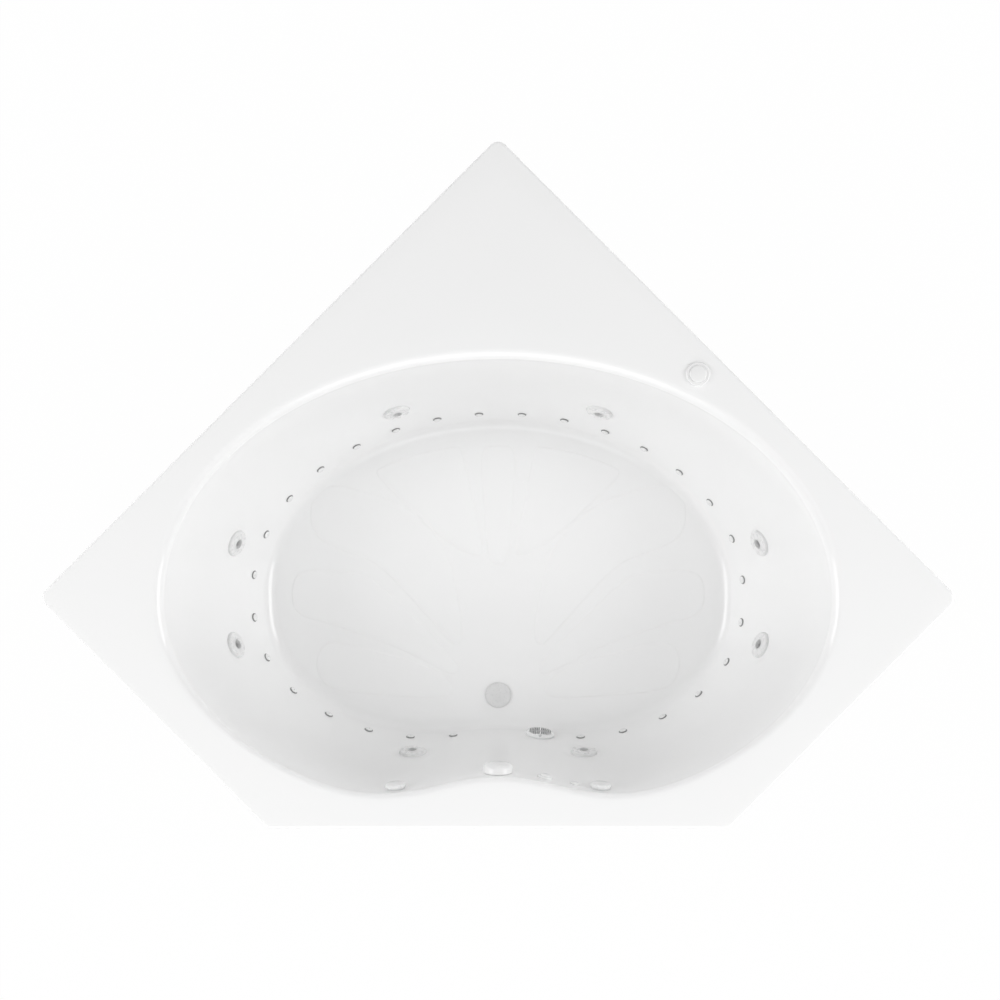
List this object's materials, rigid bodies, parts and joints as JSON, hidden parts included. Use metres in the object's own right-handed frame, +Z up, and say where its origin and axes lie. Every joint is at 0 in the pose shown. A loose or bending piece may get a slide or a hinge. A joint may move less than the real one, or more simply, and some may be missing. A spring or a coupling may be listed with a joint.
{
  "type": "corner jetted bathtub",
  "caption": "Five-sided white corner bathtub of the drop-in kind, with a kidney-shaped basin, swivelling water jets, a row of air injectors, pump, blower, dial-lifted waste and push buttons.",
  "frame": {"origin": "on the bathroom floor under the middle of the tub's outline", "axes": "+Z up, +Y towards the room corner that the tub stands in, +X to the right seen from the room"},
  "size_m": [2.1344, 1.606, 0.5935],
  "materials": {
    "acrylic": "high gloss white acrylic, glass-fibre backed underneath",
    "plywood": "resin-sealed plywood",
    "zinc_steel": "zinc plated",
    "white_trim": "moulded, glossy",
    "white_pvc": "extruded and moulded PVC, satin",
    "clear_hose": "flexible vinyl",
    "rubber": "soft black",
    "pump_plastic": "glass-filled, black",
    "motor_paint": "enamelled",
    "blower_plastic": "moulded, black",
    "box_plastic": "moulded, grey"
  },
  "bodies": {
    "tub": {"air_channel": "white_pvc", "air_check_valve": "white_pvc", "air_control_bodies": "white_pvc", "air_hoses": "clear_hose", "air_injectors": "white_trim", "base_board": "plywood", "blower_base": "blower_plastic", "blower_hood": "blower_plastic", "button_housings": "white_trim", "button_tubes": "clear_hose", "control_box": "box_plastic", "drain_flange": "white_trim", "drain_shoe": "white_pvc", "drain_tailpiece": "white_pvc", "fasteners": "zinc_steel", "fitting_nuts": "white_pvc", "foot_nuts": "zinc_steel", "jet_bodies": "white_pvc", "jet_gaskets": "rubber", "jet_nuts": "white_pvc", "level_sensor": "white_trim", "levelling_feet": "zinc_steel", "overflow_body": "white_pvc", "overflow_tube": "white_pvc", "pump_base": "pump_plastic", "pump_end_bell": "motor_paint", "pump_motor": "motor_paint", "pump_volute": "pump_plastic", "stopper_cable": "rubber", "suction_body": "white_pvc", "suction_cover": "white_trim", "suction_pipe": "white_pvc", "tub_shell": "acrylic", "waste_gaskets": "rubber", "water_pipes": "white_pvc"},
    "overflow_dial": {"overflow_dial": "white_trim"},
    "drain_stopper": {"drain_stopper": "white_trim"},
    "deck_button": {"deck_button_cap": "white_trim"},
    "wall_button": {"wall_button_cap": "white_trim"},
    "air_knob_left": {"air_knob_left": "white_trim"},
    "air_knob_right": {"air_knob_right": "white_trim"},
    "pump_rotor": {"pump_shaft": "zinc_steel", "pump_impeller": "pump_plastic"},
    "blower_rotor": {"blower_fan": "blower_plastic"},
    "jet_face_front_left": {"jet_face_front_left": "white_trim"},
    "jet_nozzle_front_left": {"jet_nozzle_front_left": "white_trim"},
    "jet_face_left_front": {"jet_face_left_front": "white_trim"},
    "jet_nozzle_left_front": {"jet_nozzle_left_front": "white_trim"},
    "jet_face_left_back": {"jet_face_left_back": "white_trim"},
    "jet_nozzle_left_back": {"jet_nozzle_left_back": "white_trim"},
    "jet_face_back_left": {"jet_face_back_left": "white_trim"},
    "jet_nozzle_back_left": {"jet_nozzle_back_left": "white_trim"},
    "jet_face_back_right": {"jet_face_back_right": "white_trim"},
    "jet_nozzle_back_right": {"jet_nozzle_back_right": "white_trim"},
    "jet_face_right_back": {"jet_face_right_back": "white_trim"},
    "jet_nozzle_right_back": {"jet_nozzle_right_back": "white_trim"},
    "jet_face_right_front": {"jet_face_right_front": "white_trim"},
    "jet_nozzle_right_front": {"jet_nozzle_right_front": "white_trim"},
    "jet_face_front_right": {"jet_face_front_right": "white_trim"},
    "jet_nozzle_front_right": {"jet_nozzle_front_right": "white_trim"}
  },
  "joints": [
    {"name": "dial_turn", "type": "hinge", "parent": "tub", "child": "overflow_dial", "pos_m": [0, -0.67815, 0.524], "axis": [0, 0.9944, 0.1054], "range_deg": [0, 90]},
    {"name": "stopper_lift", "type": "slide", "parent": "tub", "child": "drain_stopper", "axis": [0, 0, 1], "range_m": [0, 0.012]},
    {"name": "deck_button_press", "type": "slide", "parent": "tub", "child": "deck_button", "axis": [0, 0, -1], "range_m": [0, 0.004], "stiffness_N_per_m": 600, "springref_m": -0.001},
    {"name": "wall_button_press", "type": "slide", "parent": "tub", "child": "wall_button", "axis": [-0.207, -0.9715, -0.1157], "range_m": [0, 0.004], "stiffness_N_per_m": 600, "springref_m": -0.001},
    {"name": "pump_spin", "type": "hinge", "parent": "tub", "child": "pump_rotor", "pos_m": [0.82817, -0.26547, 0.196], "axis": [0, -1, 0], "continuous": true},
    {"name": "blower_spin", "type": "hinge", "parent": "tub", "child": "blower_rotor", "pos_m": [-0.84864, -0.26804, 0.098], "axis": [0, 0, 1], "continuous": true},
    {"name": "air_knob_left_turn", "type": "hinge", "parent": "tub", "child": "air_knob_left", "pos_m": [-0.24229, -0.7152, 0.526], "axis": [-0.0647, 0.9866, 0.1496], "range_deg": [0, 180]},
    {"name": "air_knob_right_turn", "type": "hinge", "parent": "tub", "child": "air_knob_right", "pos_m": [0.24229, -0.7152, 0.526], "axis": [0.0647, 0.9866, 0.1496], "range_deg": [0, 180]},
    {"name": "jet_face_front_left_turn", "type": "hinge", "parent": "tub", "child": "jet_face_front_left", "pos_m": [-0.21241, -0.66117, 0.272], "axis": [-0.0249, 0.9717, 0.2347], "range_deg": [0, 90]},
    {"name": "jet_nozzle_front_left_tilt", "type": "hinge", "parent": "jet_face_front_left", "child": "jet_nozzle_front_left", "pos_m": [-0.21243, -0.6602, 0.27224], "axis": [-0.9997, -0.0257, 0], "range_deg": [-15, 15]},
    {"name": "jet_face_left_front_turn", "type": "hinge", "parent": "tub", "child": "jet_face_left_front", "pos_m": [-0.65153, -0.39516, 0.272], "axis": [0.8605, 0.3206, 0.3961], "range_deg": [0, 90]},
    {"name": "jet_nozzle_left_front_tilt", "type": "hinge", "parent": "jet_face_left_front", "child": "jet_nozzle_left_front", "pos_m": [-0.65067, -0.39484, 0.2724], "axis": [-0.3491, 0.9371, 0], "range_deg": [-15, 15]},
    {"name": "jet_face_left_back_turn", "type": "hinge", "parent": "tub", "child": "jet_face_left_back", "pos_m": [-0.64929, -0.14195, 0.272], "axis": [0.8512, -0.3147, 0.4201], "range_deg": [0, 90]},
    {"name": "jet_nozzle_left_back_tilt", "type": "hinge", "parent": "jet_face_left_back", "child": "jet_nozzle_left_back", "pos_m": [-0.64843, -0.14227, 0.27242], "axis": [0.3468, 0.938, 0], "range_deg": [-15, 15]},
    {"name": "jet_face_back_left_turn", "type": "hinge", "parent": "tub", "child": "jet_face_back_left", "pos_m": [-0.25181, 0.18366, 0.272], "axis": [0.2659, -0.9079, 0.3241], "range_deg": [0, 90]},
    {"name": "jet_nozzle_back_left_tilt", "type": "hinge", "parent": "jet_face_back_left", "child": "jet_nozzle_back_left", "pos_m": [-0.25154, 0.18275, 0.27232], "axis": [0.9597, 0.281, 0], "range_deg": [-15, 15]},
    {"name": "jet_face_back_right_turn", "type": "hinge", "parent": "tub", "child": "jet_face_back_right", "pos_m": [0.25181, 0.18366, 0.272], "axis": [-0.2659, -0.9079, 0.3241], "range_deg": [0, 90]},
    {"name": "jet_nozzle_back_right_tilt", "type": "hinge", "parent": "jet_face_back_right", "child": "jet_nozzle_back_right", "pos_m": [0.25154, 0.18275, 0.27232], "axis": [0.9597, -0.281, 0], "range_deg": [-15, 15]},
    {"name": "jet_face_right_back_turn", "type": "hinge", "parent": "tub", "child": "jet_face_right_back", "pos_m": [0.64929, -0.14195, 0.272], "axis": [-0.8512, -0.3147, 0.4201], "range_deg": [0, 90]},
    {"name": "jet_nozzle_right_back_tilt", "type": "hinge", "parent": "jet_face_right_back", "child": "jet_nozzle_right_back", "pos_m": [0.64843, -0.14227, 0.27242], "axis": [0.3468, -0.938, 0], "range_deg": [-15, 15]},
    {"name": "jet_face_right_front_turn", "type": "hinge", "parent": "tub", "child": "jet_face_right_front", "pos_m": [0.65153, -0.39516, 0.272], "axis": [-0.8605, 0.3206, 0.3961], "range_deg": [0, 90]},
    {"name": "jet_nozzle_right_front_tilt", "type": "hinge", "parent": "jet_face_right_front", "child": "jet_nozzle_right_front", "pos_m": [0.65067, -0.39484, 0.2724], "axis": [-0.3491, -0.9371, 0], "range_deg": [-15, 15]},
    {"name": "jet_face_front_right_turn", "type": "hinge", "parent": "tub", "child": "jet_face_front_right", "pos_m": [0.21241, -0.66117, 0.272], "axis": [0.0249, 0.9717, 0.2347], "range_deg": [0, 90]},
    {"name": "jet_nozzle_front_right_tilt", "type": "hinge", "parent": "jet_face_front_right", "child": "jet_nozzle_front_right", "pos_m": [0.21243, -0.6602, 0.27224], "axis": [-0.9997, 0.0257, 0], "range_deg": [-15, 15]}
  ],
  "couplings": [
    {"joint": "dial_turn", "follows": "stopper_lift", "rad_per_m": 130.9}
  ]
}
